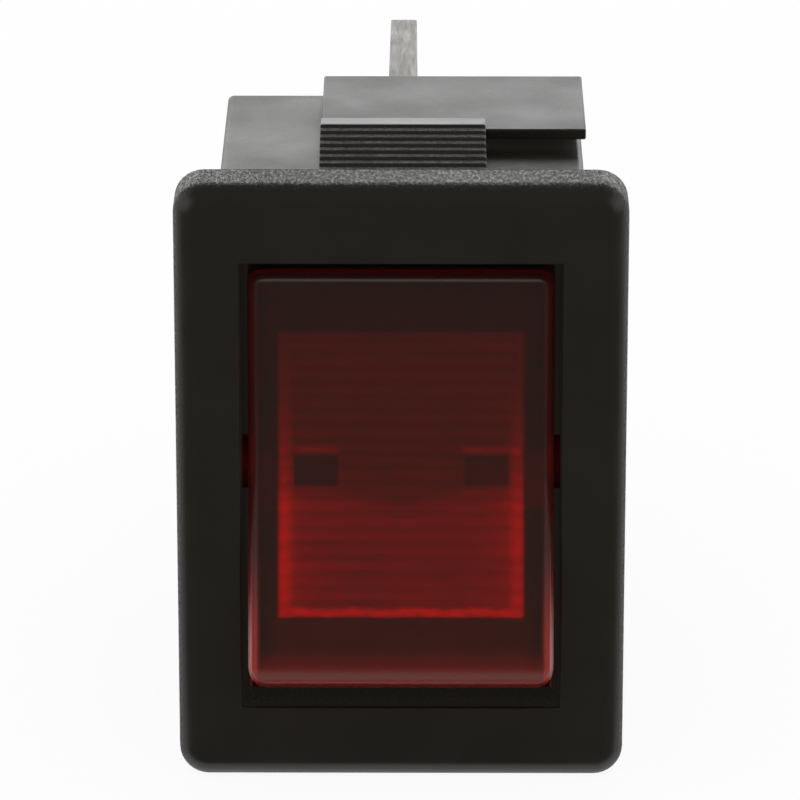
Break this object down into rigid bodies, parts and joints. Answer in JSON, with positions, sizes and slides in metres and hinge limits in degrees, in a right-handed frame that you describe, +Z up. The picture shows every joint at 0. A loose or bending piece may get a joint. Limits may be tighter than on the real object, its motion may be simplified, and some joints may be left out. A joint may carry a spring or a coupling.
{
  "type": "panel rocker switch",
  "caption": "Illuminated panel rocker switch: black snap-in flange and body, translucent red rocker over a neon lamp, see-saw contact and flat push-on tabs behind.",
  "frame": {"origin": "centre of the flange's back face, which lies on the panel", "axes": "+Y back through the panel towards the tabs, +Z up along the flange's long side, +X to the right seen from the front"},
  "size_m": [0.015, 0.0287, 0.021],
  "materials": {
    "black_nylon": "moulded, fine grain",
    "red_lens": "translucent, smooth",
    "carrier_nylon": "moulded",
    "milky_plastic": "milky, ribbed",
    "bulb_glass": "clear",
    "tinned_wire": "tinned",
    "resistor_enamel": "enamel",
    "brass_strip": "stamped",
    "spring_steel": "drawn wire",
    "plunger_acetal": "moulded",
    "contact_copper": "stamped copper",
    "contact_silver": "silver rivet",
    "plated_brass": "dull tin plate"
  },
  "bodies": {
    "body": {"housing": "black_nylon", "common_tab": "plated_brass", "load_tab": "plated_brass", "lamp_tab": "plated_brass", "fixed_contact": "contact_silver", "lamp_spring_left": "spring_steel", "lamp_spring_right": "spring_steel", "lamp_strip_left": "brass_strip", "lamp_strip_right": "brass_strip"},
    "rocker": {"rocker_lens": "red_lens", "rocker_carrier": "carrier_nylon", "diffuser": "milky_plastic", "neon_bulb": "bulb_glass", "bulb_lead_left": "tinned_wire", "bulb_lead_right": "tinned_wire", "resistor": "resistor_enamel", "resistor_lead": "tinned_wire", "wiper_pad_left": "brass_strip", "wiper_pad_right": "brass_strip", "plunger_spring": "spring_steel"},
    "plunger": {"plunger": "plunger_acetal"},
    "bridge": {"contact_bridge": "contact_copper", "moving_contact": "contact_silver"}
  },
  "joints": [
    {"name": "rocker_hinge", "type": "hinge", "parent": "body", "child": "rocker", "pos_m": [0, 0.0006, 0], "axis": [1, 0, 0], "range_deg": [0, 18]},
    {"name": "bridge_hinge", "type": "hinge", "parent": "body", "child": "bridge", "pos_m": [0, 0.0106, 0], "axis": [1, 0, 0], "range_deg": [-16.2, 0]},
    {"name": "plunger_slide", "type": "slide", "parent": "rocker", "child": "plunger", "axis": [0, -0.9877, 0.1564], "range_m": [0, 0.0005], "stiffness_N_per_m": 300, "springref_m": -0.001, "deforming": ["plunger_spring"]}
  ],
  "couplings": [
    {"joint": "bridge_hinge", "follows": "rocker_hinge", "ratio": -0.9}
  ]
}
